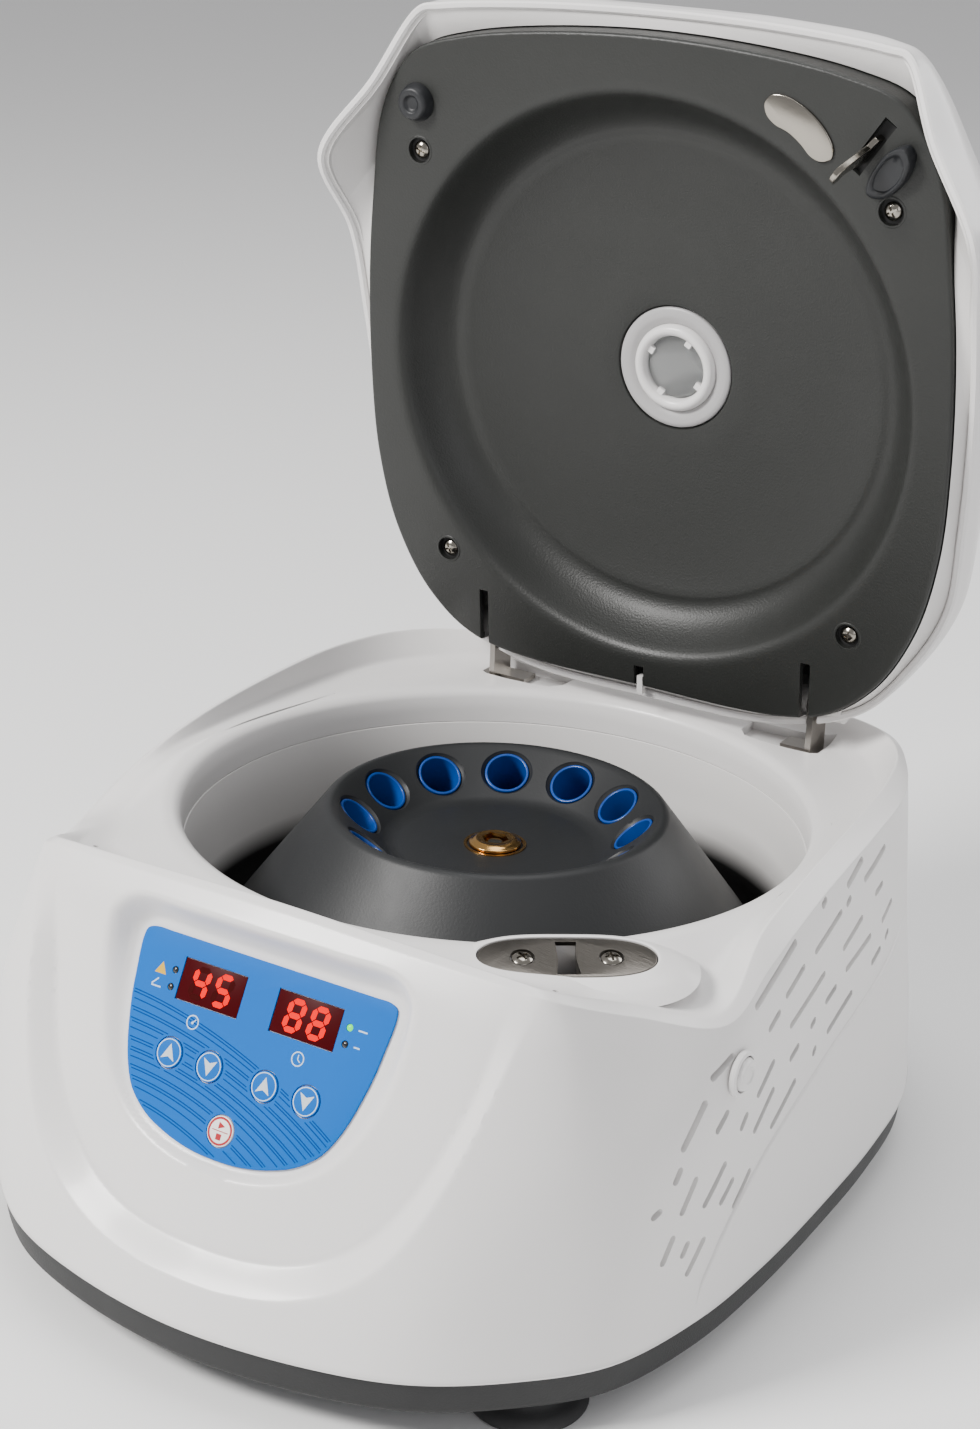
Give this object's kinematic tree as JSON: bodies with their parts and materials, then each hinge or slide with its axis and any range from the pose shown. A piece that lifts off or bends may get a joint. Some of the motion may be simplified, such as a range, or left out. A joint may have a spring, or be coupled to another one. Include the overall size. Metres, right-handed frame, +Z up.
{
  "type": "laboratory centrifuge",
  "caption": "Compact bench-top laboratory centrifuge with a fixed-angle rotor, hinged lid with viewing window, and a sloping front control panel.",
  "frame": {"origin": "centre of the bounding box at bench level, with the lid standing open", "axes": "+X to the machine's right as seen from its front, -Y towards the control panel, +Z up"},
  "size_m": [0.2838, 0.362, 0.4134],
  "materials": {
    "white_plastic": "satin warm white moulding",
    "charcoal_plastic": "matt, fine grain",
    "liner_plastic": "matt dark grey, fine grain",
    "rotor_metal": "dark grey satin coating",
    "sleeve_plastic": "blue, satin",
    "panel_film": "printed film, satin",
    "key_white": "printed film, satin",
    "display_red": "lit digits behind red filter",
    "steel": "brushed",
    "bright_steel": "polished",
    "brass": "machined",
    "rubber": "matt",
    "board": "circuit board",
    "motor_metal": "cast",
    "window": "clear"
  },
  "bodies": {
    "machine": {"base_tray": "charcoal_plastic", "foot_front_left": "rubber", "foot_front_right": "rubber", "foot_rear_left": "rubber", "foot_rear_right": "rubber", "housing_shell": "white_plastic", "chamber_bowl": "white_plastic", "motor_mount_plate": "steel", "damper_ring": "rubber", "motor_housing": "motor_metal", "power_board": "board", "control_board": "board", "display_speed": "display_red", "display_time": "display_red", "control_overlay": "panel_film", "latch_plate": "steel", "latch_screw_left": "bright_steel", "latch_screw_right": "bright_steel", "lock_solenoid": "motor_metal", "hinge_strap_left": "steel", "hinge_strap_right": "steel", "power_inlet": "charcoal_plastic", "shaft_seal": "rubber"},
    "rotor_group": {"motor_shaft": "steel", "rotor": "rotor_metal", "rotor_nut": "brass", "tube_sleeve_01": "sleeve_plastic", "tube_sleeve_02": "sleeve_plastic", "tube_sleeve_03": "sleeve_plastic", "tube_sleeve_04": "sleeve_plastic", "tube_sleeve_05": "sleeve_plastic", "tube_sleeve_06": "sleeve_plastic", "tube_sleeve_07": "sleeve_plastic", "tube_sleeve_08": "sleeve_plastic", "tube_sleeve_09": "sleeve_plastic", "tube_sleeve_10": "sleeve_plastic", "tube_sleeve_11": "sleeve_plastic", "tube_sleeve_12": "sleeve_plastic"},
    "lid": {"lid_shell": "white_plastic", "lid_liner": "liner_plastic", "window_bezel": "white_plastic", "window_lens": "window", "latch_hook": "bright_steel", "strike_plate": "bright_steel", "bumper_left": "rubber", "bumper_right": "rubber", "lid_screw_front_left": "bright_steel", "lid_screw_front_right": "bright_steel", "lid_screw_rear_left": "bright_steel", "lid_screw_rear_right": "bright_steel", "hinge_rod": "steel"},
    "speed_up_key": {"key_speed_up": "panel_film"},
    "speed_down_key": {"key_speed_down": "panel_film"},
    "time_up_key": {"key_time_up": "panel_film"},
    "time_down_key": {"key_time_down": "panel_film"},
    "run_stop_key": {"key_run_stop": "key_white"},
    "catch": {"latch_catch": "steel"},
    "rocker": {"power_switch": "rubber"},
    "release": {"release_plug": "white_plastic"}
  },
  "joints": [
    {"name": "rotor_spin", "type": "hinge", "parent": "machine", "child": "rotor_group", "pos_m": [0, 0.009, 0.1], "axis": [0, 0, 1], "continuous": true},
    {"name": "lid_hinge", "type": "hinge", "parent": "machine", "child": "lid", "pos_m": [0, 0.1278, 0.1596], "axis": [1, 0, 0], "range_deg": [0, 84.6]},
    {"name": "speed_up_press", "type": "slide", "parent": "machine", "child": "speed_up_key", "axis": [0, 0.8808, -0.4735], "range_m": [0, 0.0006], "stiffness_N_per_m": 1500},
    {"name": "speed_down_press", "type": "slide", "parent": "machine", "child": "speed_down_key", "axis": [0, 0.8808, -0.4735], "range_m": [0, 0.0006], "stiffness_N_per_m": 1500},
    {"name": "time_up_press", "type": "slide", "parent": "machine", "child": "time_up_key", "axis": [0, 0.8808, -0.4735], "range_m": [0, 0.0006], "stiffness_N_per_m": 1500},
    {"name": "time_down_press", "type": "slide", "parent": "machine", "child": "time_down_key", "axis": [0, 0.8808, -0.4735], "range_m": [0, 0.0006], "stiffness_N_per_m": 1500},
    {"name": "run_stop_press", "type": "slide", "parent": "machine", "child": "run_stop_key", "axis": [0, 0.8808, -0.4735], "range_m": [0, 0.0006], "stiffness_N_per_m": 1500},
    {"name": "catch_slide", "type": "slide", "parent": "machine", "child": "catch", "axis": [0.8141, 0.5807, 0], "range_m": [0, 0.0055], "stiffness_N_per_m": 300},
    {"name": "rocker_tilt", "type": "hinge", "parent": "machine", "child": "rocker", "pos_m": [-0.0235, 0.173, 0.051], "axis": [1, 0, 0], "range_deg": [-13, 0]},
    {"name": "release_pull", "type": "slide", "parent": "machine", "child": "release", "axis": [1, 0, 0], "range_m": [0, 0.012]}
  ]
}
